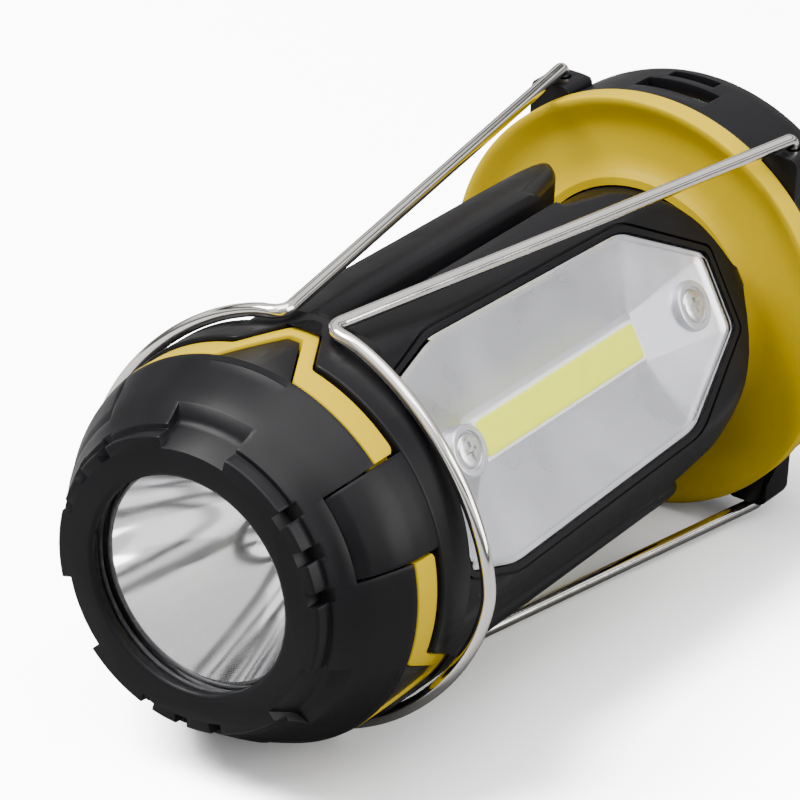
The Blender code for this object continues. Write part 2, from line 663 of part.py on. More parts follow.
def add_bail(name, side, chrome):
    """One wire bail, whose origin is the middle of its hinge line."""
    curve = bpy.data.curves.new(name, "CURVE")
    curve.dimensions = "3D"
    curve.bevel_depth = WIRE_RADIUS
    curve.bevel_resolution = 3
    curve.render_resolution_u = 0
    curve.use_fill_caps = True
    points = bail_path()
    spline = curve.splines.new("POLY")
    spline.points.add(len(points) - 1)
    for target, point in zip(spline.points, points):
        target.co = (side * point.x, point.y, point.z, 1)
        target.radius = 1
    bail = place(name, curve, chrome)
    bail.location = (side * HINGE_OUT, HINGE_Y, 0)


def lay_down():
    """Tips the lantern until it rests on its bails' corners and the flange's rim."""
    wire = BAIL_HALF + WIRE_RADIUS
    wire_y = BAIL_CORNER_Y + 1.0 * MM
    tilt = atan2(DISC_RADIUS - wire, DISC_FRONT + 0.3 * MM - wire_y)
    lantern.rotation_euler = (tilt, 0, 0)
    height = wire * cos(tilt) - wire_y * sin(tilt)
    lantern.location = (0, -LANTERN_LENGTH / 2 * cos(tilt), height)


for old in list(bpy.data.objects):
    bpy.data.objects.remove(old)

lantern = bpy.data.objects.new("lantern", None)
bpy.context.collection.objects.link(lantern)

matt_black = material("matt_black", (0.025, 0.025, 0.03), 0.5)
soft_black = material("soft_black", (0.02, 0.02, 0.02), 0.7)
yellow_abs = material("yellow_abs", (0.92, 0.68, 0.03), 0.35)
clear_plastic = material("clear_plastic", (0.95, 0.97, 0.98), 0.05, 0.0, 0.9)
silver_tray = material("silver_tray", (0.62, 0.63, 0.66), 0.3, 0.4)
mirror_metal = material("mirror_metal", (0.9, 0.9, 0.92), 0.08, 1.0)
chrome_wire = material("chrome_wire", (0.75, 0.73, 0.7), 0.12, 1.0)
steel = material("steel", (0.7, 0.7, 0.7), 0.25, 1.0)
yellow_phosphor = material("yellow_phosphor", (0.93, 0.93, 0.2), 0.5)
board_white = material("board_white", (0.8, 0.8, 0.78), 0.5)
board_green = material("board_green", (0.03, 0.2, 0.08), 0.4)
cell_blue = material("cell_blue", (0.05, 0.12, 0.35), 0.4)
panel_blue = material("panel_blue", (0.02, 0.03, 0.1), 0.15)

add_head(matt_black)
add_torch(mirror_metal, clear_plastic, soft_black, yellow_phosphor, board_white)
add_trim(yellow_abs)
add_body(matt_black)
add_windows(clear_plastic, silver_tray, yellow_phosphor, steel)
add_flange(yellow_abs)
add_cap(matt_black)
add_electrics(board_green, steel, cell_blue, panel_blue, matt_black, soft_black)
add_button(soft_black)
add_bail("bail_right", 1, chrome_wire)
add_bail("bail_left", -1, chrome_wire)
lay_down()
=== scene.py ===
"""Looks of the solar lantern: finished shells, wire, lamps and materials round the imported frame.

Pieces are modelled round the lantern's own axis in millimetres, +Y from the torch face to the
solar panel and angles from +Z towards +X, and then laid down by the frame's hinge axes. A station
is a distance along +Y from the torch face.
"""
import json
from math import cos, pi, radians, sin, sqrt

import bmesh
import bpy
from mathutils import Matrix, Vector


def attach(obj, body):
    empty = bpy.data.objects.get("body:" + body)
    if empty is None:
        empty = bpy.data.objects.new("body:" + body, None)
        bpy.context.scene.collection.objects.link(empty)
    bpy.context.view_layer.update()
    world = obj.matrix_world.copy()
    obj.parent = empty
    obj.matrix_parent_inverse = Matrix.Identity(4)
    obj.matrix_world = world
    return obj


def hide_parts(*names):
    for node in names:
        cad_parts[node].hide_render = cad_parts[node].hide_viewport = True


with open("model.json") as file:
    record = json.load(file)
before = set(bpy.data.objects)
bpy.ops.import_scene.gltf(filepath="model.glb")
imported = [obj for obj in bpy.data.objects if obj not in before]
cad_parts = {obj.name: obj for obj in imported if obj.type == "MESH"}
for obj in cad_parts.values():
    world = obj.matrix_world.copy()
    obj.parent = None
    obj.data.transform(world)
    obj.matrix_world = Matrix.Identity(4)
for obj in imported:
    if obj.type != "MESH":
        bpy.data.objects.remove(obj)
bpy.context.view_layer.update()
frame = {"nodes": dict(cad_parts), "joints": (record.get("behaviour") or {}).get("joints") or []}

MM = 0.001
AROUND = 180                # segments round the axis
WINDOWS = (60, 180, 300)    # degrees to the middle of each window
VALLEYS = (0, 120, 240)     # degrees to the middle of each valley between two windows
HINGES = {joint["child"]: joint for joint in frame["joints"] if joint["type"] == "hinge"}


# the lantern's own axes, from the frame

def find_lantern():
    """Matrix from lantern millimetres to the row frame."""
    right, left = HINGES["bail_right"], HINGES["bail_left"]
    up = Vector(right["axis"]).normalized()
    along = up.cross(Vector((1, 0, 0)))
    middle = (Vector(right["pos_m"]) + Vector(left["pos_m"])) / 2
    face = min((v.co - middle).dot(along) for v in frame["nodes"]["head_shell"].data.vertices)
    origin = middle + along * face
    turn = Matrix((Vector((1, 0, 0)), along, up)).transposed().to_4x4()
    return Matrix.Translation(origin) @ turn @ Matrix.Scale(MM, 4)


LANTERN = find_lantern()
INTO = LANTERN.inverted()


def extent(node):
    """(lowest y, highest y, largest radius) of a CAD node, in lantern millimetres."""
    points = [INTO @ v.co for v in frame["nodes"][node].data.vertices]
    radius = max(sqrt(p.x ** 2 + p.z ** 2) for p in points)
    return min(p.y for p in points), max(p.y for p in points), radius


def reach(node, turn):
    """Height of a CAD node's top above the lantern's axis, along the direction at an angle."""
    out = Vector((sin(turn), 0, cos(turn)))
    return max((INTO @ v.co).dot(out) for v in frame["nodes"][node].data.vertices)


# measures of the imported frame

TRIM_FRONT = extent("trim_ring")[0]
DISC_FRONT, _, DISC_RADIUS = extent("flange_disc")
CAP_FRONT, CAP_REAR, _ = extent("end_cap")
BOWL_REAR = extent("torch_reflector")[1] - 0.5
HINGE_OUT, HINGE_Y, _ = INTO @ Vector(HINGES["bail_right"]["pos_m"])
COVER_TOP = reach("window_cover_1", radians(WINDOWS[0]))

# head and trim

GAP = 0.3                   # clearance between neighbouring pieces
HEAD_REAR = 14.5
HEAD_RIM = 31.0
TRIM_WIDTH = 4.9
TRIM_PEAK = 11.0            # how far the trim steps back at a valley
ZIG_FOOT = 13               # degrees from a valley where the step starts
ZIG_TOP = 2                 # degrees from a valley where it ends
TONGUE_HALF = 14.0          # degrees

# body

SPIGOT_RADIUS = 28.0
COLLAR_RADIUS = 31.6
COLLAR_REAR = 27.3
CORE_RADIUS = 19.8
CORE_REAR = 131.0
BODY_BORE = 17.0
BODY_REAR = 123.0
BODY_STATIONS = (
    27.45, 28.0, 30.0, 32.4, 32.7, 33.2, 40, 50, 65, 80, 90, 97, 102, 105, 108,
    110, 112, 114, 116, 118, 119.5, 121, 122, 122.6, BODY_REAR,
)

# windows: heights above the axis, and stations

FLAT = COVER_TOP - 0.2
COVER_FOOT = FLAT - 1.6
TRAY_FLOOR = FLAT - 4.2
BOSS_TOP = COVER_FOOT - 0.7
SCREW_STATIONS = (44.1, 108.5)
COB_SPAN = (48.4, 94.0)
COB_WIDTH = 6.8

# flange, cap, ports, button and panel

DISC_REAR = 127.8
DISC_LIP = 34.3             # radius where the flange's dish meets its rim
USB_Y = 134.0
CHARGE_Y = 139.4
PORT_TURN = radians(-2)
BUTTON_Y = 133.5
BUTTON_TURN = radians(270)

WIRE_RADIUS = 1.1
CUT_TOP = 36                # height that clears the body, for cutters


# mesh helpers

def polar(radius, angle, y):
    """A point at a radius and an angle (radians from +Z towards +X)."""
    return Vector((radius * sin(angle), y, radius * cos(angle)))


def gap_to(angle, middles):
    """Degrees from an angle to the nearest of several."""
    return min(abs((angle - middle + 180) % 360 - 180) for middle in middles)


def smooth_min(a, b, blend):
    """The smaller of two lengths, rounded off over a blend length where they cross."""
    if abs(a - b) >= blend:
        return min(a, b)
    share = 0.5 + (b - a) / (2 * blend)
    return b + (a - b) * share - blend * share * (1 - share)


def bend(start, corner, end, steps):
    """Points of a smooth bend from start to end, drawn towards a corner."""
    shares = [step / steps for step in range(steps + 1)]
    return [start * (1 - t) ** 2 + corner * 2 * t * (1 - t) + end * t ** 2 for t in shares]


def rounded(points, steps=4, closed=True):
    """Replaces each (a, b, fillet) corner of an outline by a smooth bend."""
    most = 0.48    # of a side's length, so that two fillets never meet
    result = []
    count = len(points)
    for i, (a, b, fillet) in enumerate(points):
        corner = Vector((a, b))
        if fillet <= 0 or (not closed and i in (0, count - 1)):
            result.append((a, b))
            continue
        before = Vector(points[i - 1][:2]) - corner
        after = Vector(points[(i + 1) % count][:2]) - corner
        start = corner + before.normalized() * min(fillet, before.length * most)
        end = corner + after.normalized() * min(fillet, after.length * most)
        result += [(p.x, p.y) for p in bend(start, corner, end, steps)]
    return result


def rectangle(half, low, high, fillet):
    """A rectangle with rounded corners in (x, y), with x = 0 in its middle."""
    corners = [(-half, low), (half, low), (half, high), (-half, high)]
    return rounded([(x, y, fillet) for x, y in corners])


def mirrored(half):
    """A whole outline from the (x, y, fillet) corners of its right half."""
    return half + [(-x, y, fillet) for x, y, fillet in reversed(half)]


def through(points, steps):
    """A smooth curve through (a, b) points."""
    result = []
    vectors = [Vector(p) for p in points]
    for i in range(len(vectors) - 1):
        p1, p2 = vectors[i], vectors[i + 1]
        p0 = vectors[i - 1] if i else p1 * 2 - p2
        p3 = vectors[i + 2] if i + 2 < len(vectors) else p2 * 2 - p1
        for step in range(steps):
            t = step / steps
            p = 0.5 * (2 * p1 + (p2 - p0) * t + (2 * p0 - 5 * p1 + 4 * p2 - p3) * t ** 2
                       + (3 * p1 - 3 * p2 + p3 - p0) * t ** 3)
            result.append(tuple(p))
    return result + [tuple(vectors[-1])]


def skin(bm, rings, closed):
    """Bridges rings of the same number of vertices; each ring is a closed loop."""
    pairs = list(zip(rings, rings[1:]))
    if closed:
        pairs.append((rings[-1], rings[0]))
    for first, second in pairs:
        for i in range(len(first)):
            j = (i + 1) % len(first)
            bm.faces.new((first[i], first[j], second[j], second[i]))


def bridged(rings, turn=0.0, closed=False):
    """A mesh through rings of points, turned about the axis; an open one is capped."""
    bm = bmesh.new()
    spin = Matrix.Rotation(turn, 3, "Y")
    loops = [[bm.verts.new(spin @ Vector(point)) for point in ring] for ring in rings]
    skin(bm, loops, closed)
    if not closed:
        bm.faces.new(loops[0])
        bm.faces.new(loops[-1])
    return bm


def sections(stations, closed):
    """A mesh through (degrees, profile) stations, either all the way round or capped."""
    rings = [[polar(r, radians(angle), y) for r, y in profile] for angle, profile in stations]
    return bridged(rings, closed=closed)


def arcs(middles, half, steps, profile):
    """Solids of one (radius, y) profile, each turned half an arc either way from a middle."""
    solids = []
    for middle in middles:
        stations = [(middle + half * step / steps, profile) for step in range(-steps, steps + 1)]
        solids.append(sections(stations, False))
    return joined(solids)


def turned(profile, segments=AROUND):
    """A closed profile of (radius, y) points turned about the axis."""
    return sections([(360 * i / segments, profile) for i in range(segments)], True)


def turned_solid(outline, segments=AROUND):
    """An open outline whose first and last points lie on the axis, turned to a solid."""
    bm = bmesh.new()
    first = bm.verts.new((0, outline[0][1], 0))
    last = bm.verts.new((0, outline[-1][1], 0))
    rings = []
    for r, y in outline[1:-1]:
        angles = [2 * pi * i / segments for i in range(segments)]
        rings.append([bm.verts.new(polar(r, angle, y)) for angle in angles])
    skin(bm, rings, False)
    for i in range(segments):
        j = (i + 1) % segments
        bm.faces.new((first, rings[0][i], rings[0][j]))
        bm.faces.new((last, rings[-1][j], rings[-1][i]))
    return bm


def loft(outlines, turn=0.0, closed=False):
    """A mesh through outlines of (x, y) points, each at its own height above the axis."""
    return bridged([[(x, y, z) for x, y in outline] for outline, z in outlines], turn, closed)


def brick(x, y, z, turn=0.0):
    """A box between pairs of limits, turned about the axis."""
    outline = [(x[0], y[0]), (x[1], y[0]), (x[1], y[1]), (x[0], y[1])]
    return loft([(outline, z[0]), (outline, z[1])], turn)


def joined(parts):
    """One bmesh from several, which are freed."""
    result = bmesh.new()
    for part in parts:
        mesh = bpy.data.meshes.new("part")
        part.to_mesh(mesh)
        part.free()
        result.from_mesh(mesh)
        bpy.data.meshes.remove(mesh)
    return result


def spun(bm, turn):
    """Turns a bmesh about the axis."""
    bmesh.ops.rotate(bm, verts=bm.verts, cent=(0, 0, 0), matrix=Matrix.Rotation(turn, 3, "Y"))
    return bm


def placed(bm, tilt, place):
    """Tilts a bmesh about X and moves it."""
    bmesh.ops.rotate(bm, verts=bm.verts, cent=(0, 0, 0), matrix=Matrix.Rotation(tilt, 3, "X"))
    bmesh.ops.translate(bm, verts=bm.verts, vec=place)
    return bm


def to_object(name, bm):
    """A mesh object in the row frame from a bmesh in lantern millimetres."""
    bmesh.ops.recalc_face_normals(bm, faces=bm.faces)
    bm.transform(LANTERN)
    mesh = bpy.data.meshes.new(name)
    bm.to_mesh(mesh)
    bm.free()
    obj = bpy.data.objects.new(name, mesh)
    bpy.context.collection.objects.link(obj)
    return obj


def settle(obj):
    """Replaces an object's mesh by its modifiers' result."""
    bpy.context.view_layer.update()
    evaluated = obj.evaluated_get(bpy.context.evaluated_depsgraph_get())
    mesh = bpy.data.meshes.new_from_object(evaluated)
    obj.modifiers.clear()
    obj.data = mesh


def carve(obj, *jobs):
    """Joins or cuts solids, given as (operation, bmesh) pairs, and applies the result."""
    helpers = []
    for operation, bm in jobs:
        helper = to_object("helper", bm)
        modifier = obj.modifiers.new("carve", "BOOLEAN")
        modifier.operation = operation
        modifier.solver = "EXACT"
        modifier.object = helper
        helpers.append(helper)
    settle(obj)
    for helper in helpers:
        bpy.data.objects.remove(helper)


def soften(obj, width):
    """Rounds the sharp edges of a carved mesh."""
    flat_angle, sharp_angle = radians(0.4), radians(40)
    clean = bmesh.new()
    clean.from_mesh(obj.data)
    bmesh.ops.remove_doubles(clean, verts=clean.verts, dist=0.01 * MM)
    bmesh.ops.dissolve_limit(clean, angle_limit=flat_angle, verts=clean.verts, edges=clean.edges)
    clean.to_mesh(obj.data)
    clean.free()
    modifier = obj.modifiers.new("soften", "BEVEL")
    modifier.width = width * MM
    modifier.segments = 2
    modifier.limit_method = "ANGLE"
    modifier.angle_limit = sharp_angle
    settle(obj)


def finish_piece(obj, look, nodes=(), body="lantern", smooth=38):
    """Gives a piece its material and shading, and ties it to the frame."""
    obj.data.materials.clear()
    obj.data.materials.append(look)
    obj.data.shade_smooth()
    obj.data.set_sharp_from_angle(angle=radians(smooth))
    if nodes:
        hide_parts(*nodes)
    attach(obj, body)


def piece(name, bm, look, nodes=(), body="lantern", smooth=38):
    """A finished piece straight from a bmesh."""
    finish_piece(to_object(name, bm), look, nodes, body, smooth)


# materials

class Look:
    """A Principled material with a few nodes added.

    The colour and roughness it starts with stand until a node feeds the same socket.
    """

    def __init__(self, name, colour, roughness, metallic=0.0):
        self.material = bpy.data.materials.new(name)
        self.material.use_nodes = True
        self.tree = self.material.node_tree
        self.shader = self.tree.nodes["Principled BSDF"]
        self.shader.inputs["Base Color"].default_value = (*colour, 1)
        self.shader.inputs["Roughness"].default_value = roughness
        self.shader.inputs["Metallic"].default_value = metallic
        self.place = self.tree.nodes.new("ShaderNodeTexCoord").outputs["Object"]
        self.normal = None

    def set(self, **values):
        """Sets the shader's own sockets; an underscore stands for a space."""
        for name, value in values.items():
            self.shader.inputs[name.replace("_", " ")].default_value = value

    def node(self, kind, links=None, **settings):
        """A new node, with each input linked to a socket or set to a value."""
        node = self.tree.nodes.new(kind)
        for name, value in settings.items():
            setattr(node, name, value)
        for name, source in (links or {}).items():
            if isinstance(source, bpy.types.NodeSocket):
                self.tree.links.new(source, node.inputs[name])
            else:
                node.inputs[name].default_value = source
        return node

    def noise(self, scale, detail, stretch=None):
        """A noise value; stretch scales the space along X, Y and Z first."""
        vector = self.place
        if stretch:
            vector = self.node("ShaderNodeMapping", {"Vector": vector, "Scale": stretch}).outputs[0]
        links = {"Vector": vector, "Scale": scale, "Detail": detail, "Roughness": 0.5}
        return self.node("ShaderNodeTexNoise", links).outputs["Fac"]

    def ramp(self, value, low, high, start=0.3, end=0.7):
        """Maps a value from start..end to low..high."""
        links = {"Value": value, "From Min": start, "From Max": end, "To Min": low, "To Max": high}
        return self.node("ShaderNodeMapRange", links).outputs[0]

    def blend(self, value, first, second):
        """A colour between two by a value."""
        mix = self.node("ShaderNodeMix", {"Factor": value}, data_type="RGBA")
        for socket, colour in ((mix.inputs[6], first), (mix.inputs[7], second)):
            if isinstance(colour, bpy.types.NodeSocket):
                self.tree.links.new(colour, socket)
            else:
                socket.default_value = (*colour, 1)
        return mix.outputs[2]

    def feed(self, name, source):
        """Links a value to one of the shader's sockets."""
        self.tree.links.new(source, self.shader.inputs[name])

    def vary_colour(self, value, first, second):
        """Moves the base colour between two colours by a noise value."""
        self.feed("Base Color", self.blend(self.ramp(value, 0, 1), first, second))

    def vary_roughness(self, value, low, high):
        """Moves the roughness between two limits by a noise value."""
        self.feed("Roughness", self.ramp(value, low, high))

    def bump(self, height, strength, distance):
        """Adds a bump layer over the earlier ones."""
        links = {"Height": height, "Strength": strength, "Distance": distance}
        if self.normal:
            links["Normal"] = self.normal
        self.normal = self.node("ShaderNodeBump", links).outputs[0]
        self.feed("Normal", self.normal)


def moulded_black():
    """Spark-eroded charcoal plastic, with handling marks that change its sheen."""
    look = Look("moulded_black", (0.005, 0.005, 0.006), 0.38)
    look.set(Specular_IOR_Level=0.14)
    broad = look.noise(35, 4)
    fine = look.noise(1500, 2)
    look.vary_colour(broad, (0.003, 0.0028, 0.0036), (0.0052, 0.005, 0.0058))
    look.vary_roughness(look.noise(120, 5), 0.32, 0.42)
    look.bump(fine, 0.12, 0.00006)
    look.bump(broad, 0.05, 0.0004)
    return look.material


def moulded_yellow():
    """Satin yellow plastic with a faint flow pattern."""
    look = Look("moulded_yellow", (0.6, 0.41, 0.0), 0.38)
    look.set(Specular_IOR_Level=0.1)
    look.vary_colour(look.noise(30, 3), (0.47, 0.33, 0.0), (0.43, 0.29, 0.0))
    look.vary_roughness(look.noise(90, 4), 0.32, 0.42)
    look.bump(look.noise(900, 2), 0.06, 0.00005)
    return look.material


def clear_cover():
    """Clear moulded cover that lets lamps through to the tray below."""
    look = Look("clear_cover", (1.0, 1.0, 1.0), 0.0)
    look.set(Transmission_Weight=1.0, IOR=1.45)
    nodes, links = look.tree.nodes, look.tree.links
    path = nodes.new("ShaderNodeLightPath")
    clear = nodes.new("ShaderNodeBsdfTransparent")
    clear.inputs["Color"].default_value = (0.95, 0.955, 0.96, 1)
    either = look.node("ShaderNodeMath", operation="MAXIMUM")
    links.new(path.outputs["Is Shadow Ray"], either.inputs[0])
    links.new(path.outputs["Is Diffuse Ray"], either.inputs[1])
    mix = nodes.new("ShaderNodeMixShader")
    links.new(either.outputs[0], mix.inputs[0])
    links.new(look.shader.outputs[0], mix.inputs[1])
    links.new(clear.outputs[0], mix.inputs[2])
    links.new(mix.outputs[0], nodes["Material Output"].inputs["Surface"])
    return look.material


def silver_coat():
    """Vacuum-coated tray: satin silver with soft patches."""
    look = Look("silver_coat", (0.8, 0.8, 0.82), 0.3, 0.94)
    look.vary_colour(look.noise(30, 2), (0.66, 0.66, 0.7), (0.6, 0.6, 0.64))
    look.vary_roughness(look.noise(70, 2), 0.26, 0.34)
    look.bump(look.noise(1400, 2), 0.05, 0.00004)
    return look.material


def mirror_bowl():
    """Bright coated torch bowl with faint spun waves."""
    look = Look("mirror_bowl", (0.93, 0.93, 0.94), 0.07, 1.0)
    look.vary_roughness(look.noise(160, 3), 0.05, 0.13)
    look.bump(look.noise(60, 3, (1.0, 0.25, 1.0)), 0.3, 0.0006)
    return look.material


def chrome():
    """Nickel-chromed spring wire with light handling marks."""
    look = Look("chrome", (0.78, 0.755, 0.72), 0.13, 1.0)
    look.vary_roughness(look.noise(220, 5), 0.05, 0.12)
    look.vary_colour(look.noise(60, 3), (0.9, 0.87, 0.83), (0.8, 0.77, 0.73))
    look.bump(look.noise(700, 3), 0.03, 0.00005)
    return look.material


def plated_steel():
    """Plated sheet steel of screws and sockets."""
    look = Look("plated_steel", (0.68, 0.68, 0.67), 0.25, 1.0)
    look.vary_roughness(look.noise(400, 4), 0.18, 0.36)
    look.bump(look.noise(1200, 2), 0.05, 0.00004)
    return look.material


def phosphor():
    """Yellow phosphor gel over the light strip's chips, with a faint painted glow that brightens it."""
    look = Look("phosphor", (0.6, 0.64, 0.01), 0.42)
    # painted glow: a weak emission that makes the gel look brighter
    look.set(Emission_Color=(0.95, 1.0, 0.0, 1), Emission_Strength=0.5, Specular_IOR_Level=0.1)
    grain = look.noise(500, 3)
    look.vary_colour(grain, (0.58, 0.62, 0.005), (0.63, 0.67, 0.02))
    look.bump(grain, 0.15, 0.0001)
    return look.material


def plain(name, colour, roughness, metallic=0.0, grain=600, lift=0.08):
    """A simple material with a fine grain in its colour, sheen and surface."""
    look = Look(name, colour, roughness, metallic)
    value = look.noise(grain, 3)
    look.vary_colour(value, colour, tuple(c * 0.88 for c in colour))
    look.vary_roughness(value, roughness * 0.85, min(1, roughness * 1.2))
    look.bump(value, lift, 0.00006)
    return look.material


def solar_cells():
    """Dark blue laminated cells with thin silver fingers, in the panel's own directions."""
    finger_pitch, bar_pitch = 0.0021, 0.0068
    look = Look("solar_cells", (0.015, 0.025, 0.09), 0.12)
    look.set(Coat_Weight=0.6, Coat_Roughness=0.04)
    split = look.node("ShaderNodeSeparateXYZ", {"Vector": look.place})
    across = look.node("ShaderNodeMath", {0: split.outputs["X"], 1: finger_pitch}, operation="PINGPONG")
    fingers = look.ramp(across.outputs[0], 1, 0, 0.0, 0.00009)
    along = look.node("ShaderNodeMath", {0: split.outputs["Z"], 1: bar_pitch}, operation="PINGPONG")
    bars = look.ramp(along.outputs[0], 1, 0, 0.0002, 0.0003)
    lines = look.node("ShaderNodeMath", {0: fingers, 1: bars}, operation="MAXIMUM")
    patches = look.ramp(look.noise(350, 1), 0, 1)
    crystal = look.blend(patches, (0.012, 0.02, 0.075), (0.025, 0.045, 0.15))
    look.feed("Base Color", look.blend(lines.outputs[0], crystal, (0.55, 0.56, 0.58)))
    look.bump(look.noise(80, 2), 0.03, 0.0002)
    return look.material


black = moulded_black()
yellow = moulded_yellow()
cover = clear_cover()
silver = silver_coat()
mirror = mirror_bowl()
wire_chrome = chrome()
steel = plated_steel()
gel = phosphor()
strip_white = plain("strip_white", (0.82, 0.82, 0.8), 0.4)
rubber = plain("rubber", (0.02, 0.02, 0.021), 0.62, grain=900, lift=0.15)
board_green = plain("board_green", (0.03, 0.17, 0.07), 0.35)
cell_wrap = plain("cell_wrap", (0.04, 0.1, 0.3), 0.32)
contact_gold = plain("contact_gold", (0.5, 0.3, 0.1), 0.3, 0.9)
cells = solar_cells()


# torch head

def zigzag(angle):
    """How far the trim has stepped back at an angle: 0 at windows, 1 at valleys."""
    share = (ZIG_FOOT - gap_to(angle, VALLEYS)) / (ZIG_FOOT - ZIG_TOP)
    return min(1.0, max(0.0, share))


def soft_zigzag(angle):
    """The zigzag with its corners slightly rounded."""
    return sum(zigzag(angle + d) for d in (-0.8, -0.4, 0, 0.4, 0.8)) / 5


def head_profile():
    """Closed (radius, y) outline of the head's wall."""
    face = rounded([
        (17.3, 1.7, 0), (17.3, 0.4, 0), (17.8, 0, 0.3), (23.5, 0, 0.5), (23.75, 2.5, 0.15),
        (24.5, 2.5, 0),
    ], 4, False)
    outer = through([(24.5, 2.5), (25.5, 4.2), (27.6, 7.4), (29.4, 11.0), (30.85, 14.1)], 5)
    rear = rounded([(30.85, 14.1, 0), (HEAD_RIM, HEAD_REAR, 0.3), (28.4, HEAD_REAR, 0)], 3, False)
    inner = [(28.4, 11.3), (26.0, 7.9), (22.6, 5.6), (19.4, 4.6), (19.4, 1.7)]
    return face[:-1] + outer[:-1] + rear[1:] + inner


def head_tabs():
    """Three tabs that carry the head's wall back under the trim's peaks."""
    low, high, front = 28.55, 30.6, HEAD_REAR - 1.2
    tabs = []
    for valley in VALLEYS:
        stations = []
        for angle in range(valley - ZIG_FOOT, valley + ZIG_FOOT + 1):
            rear = TRIM_FRONT - 2 * GAP + (TRIM_PEAK - GAP) * zigzag(angle)
            stations.append((angle, [(low, front), (high, front), (high, rear), (low, rear)]))
        tabs.append(sections(stations, False))
    return joined(tabs)


def crown_scoops():
    """Cutters for the three finger scoops in line with the valleys."""
    half, steps = 14.5, 12
    front, floor, foot, out = -1, 6.3, 21.2, 32
    profile = rounded([
        (foot, front, 0), (24.0, 4.6, 0.8), (27.5, floor, 0), (out, floor, 0), (out, front, 0),
    ], 4)
    return arcs(VALLEYS, half, steps, profile)


def crown_slots():
    """Cutters for the grip slots on the crown's edge."""
    half, front, depth, foot, out = 1.1, -1, 3.0, 21.8, 27
    slots = []
    for window in WINDOWS:
        for offset in (-16, 0, 16):
            turn = radians(window + offset)
            slots.append(brick((-half, half), (front, depth), (foot, out), turn))
    return joined(slots)


def tongue_notches():
    """Cutters that make room for the body's tongues."""
    play, steps = 0.6, 8
    inner, outer, front, rear = 20, 34, 6.0, 16
    profile = [(inner, front), (outer, front), (outer, rear), (inner, rear)]
    return arcs(WINDOWS, TONGUE_HALF + play, steps, profile)


def make_head():
    """The torch head with its scoops, slots and notches."""
    head = to_object("torch_head", turned(head_profile()))
    carve(head, ("UNION", head_tabs()), ("DIFFERENCE", crown_scoops()),
          ("DIFFERENCE", crown_slots()), ("DIFFERENCE", tongue_notches()))
    soften(head, 0.22)
    finish_piece(head, black, ["head_shell"])


# torch

def make_lens():
    """The clear disc behind the crown's opening."""
    front, rear, radius = 2.0, 3.4, 19.1
    rim = rounded([(radius, front, 0.3), (radius, rear, 0.3)], 3)
    lens = turned_solid([(0, front)] + rim + [(0, rear)], 96)
    piece("lens", lens, cover, ["torch_lens"])


def make_seal():
    """The rubber ring behind the lens."""
    radius, y, thick = 18.5, 4.1, 0.38
    angles = [2 * pi * i / 12 for i in range(12)]
    ring = [(radius + thick * cos(angle), y + thick * sin(angle)) for angle in angles]
    piece("seal", turned(ring, 96), rubber, ["lens_seal"])


def make_bowl():
    """The reflector: a parabolic bowl with a thin wall and a rim."""
    rim, throat, front, flange, steps = 17.0, 3.6, 5.3, 20.3, 32
    inner, outer = [], []
    for i in range(steps + 1):
        radius = rim + (throat - rim) * i / steps
        share = (radius ** 2 - throat ** 2) / (rim ** 2 - throat ** 2)
        y = BOWL_REAR - (BOWL_REAR - front) * share
        inner.append((radius, y))
        outer.append((radius + 0.8, y + 0.5))
    bowl = inner + outer[::-1] + [(flange, front + 0.9), (flange, front)]
    piece("reflector_bowl", turned(bowl, 144), mirror, ["torch_reflector"])


def make_emitter():
    """The domed light source in the bowl's throat, and its board."""
    radius, middle = 2.6, BOWL_REAR + 0.7
    angles = [a * pi / 16 for a in range(1, 9)]
    dome = [(radius * sin(angle), middle - radius * cos(angle)) for angle in angles]
    dome = [(0, middle - radius)] + dome + [(0, BOWL_REAR + 0.8)]
    piece("torch_emitter", turned_solid(dome, 48), gel, ["torch_led"])
    front, rear, out = BOWL_REAR + 1.1, BOWL_REAR + 2.7, 14.0
    board = turned_solid([(0, front), (out, front), (out, rear), (0, rear)], 96)
    piece("torch_board", board, strip_white, ["torch_led_board"])


# trim and body

def band_angles(step, extra=()):
    """Stations all round, with close pairs at the corners of the zigzag."""
    angles = {round(a * step, 3) for a in range(int(360 / step))}
    for valley in VALLEYS:
        for corner in (-ZIG_FOOT, -ZIG_TOP, ZIG_TOP, ZIG_FOOT):
            angles.update((valley + corner + d) % 360 for d in (-0.5, 0, 0.5))
    angles.update(angle % 360 for angle in extra)
    return sorted(angles)


def make_trim():
    """The yellow zigzag band, which dives under the three tongues."""
    play, turn_in, drop, dive, fillet = 0.7, 2.3, 1.2, 1.3, 0.45
    steps = (-0.05, 0, 0.15, 0.35, 0.7, 1.1, 1.7, turn_in)
    edges = []
    for window in WINDOWS:
        for side in (-1, 1):
            edges += [window + side * (TONGUE_HALF + play + step) for step in steps]
    inner = SPIGOT_RADIUS + GAP
    stations = []
    for angle in band_angles(2, edges):
        front = TRIM_FRONT + TRIM_PEAK * soft_zigzag(angle)
        rear = front + TRIM_WIDTH
        clear = gap_to(angle, WINDOWS) - TONGUE_HALF - play
        outer = HEAD_RIM
        if clear < 0:
            outer = SPIGOT_RADIUS + dive
        elif clear < turn_in:
            rear -= drop * (1 - sqrt(1 - (1 - clear / turn_in) ** 2))
        corners = [(outer, front, fillet), (outer, rear, fillet)]
        profile = rounded([(inner, front, 0)] + corners + [(inner, rear, 0)], 3)
        stations.append((angle, profile))
    piece("zigzag_trim", sections(stations, True), yellow, ["trim_ring"])


BARREL = through([
    (32.6, 30.7), (60, 30.3), (80, 29.97), (95, 29.7), (103, 29.45), (110, 28.6), (115, 27.2),
    (119, 25.6), (121.8, 23.6), (BODY_REAR, 21.5),
], 6)


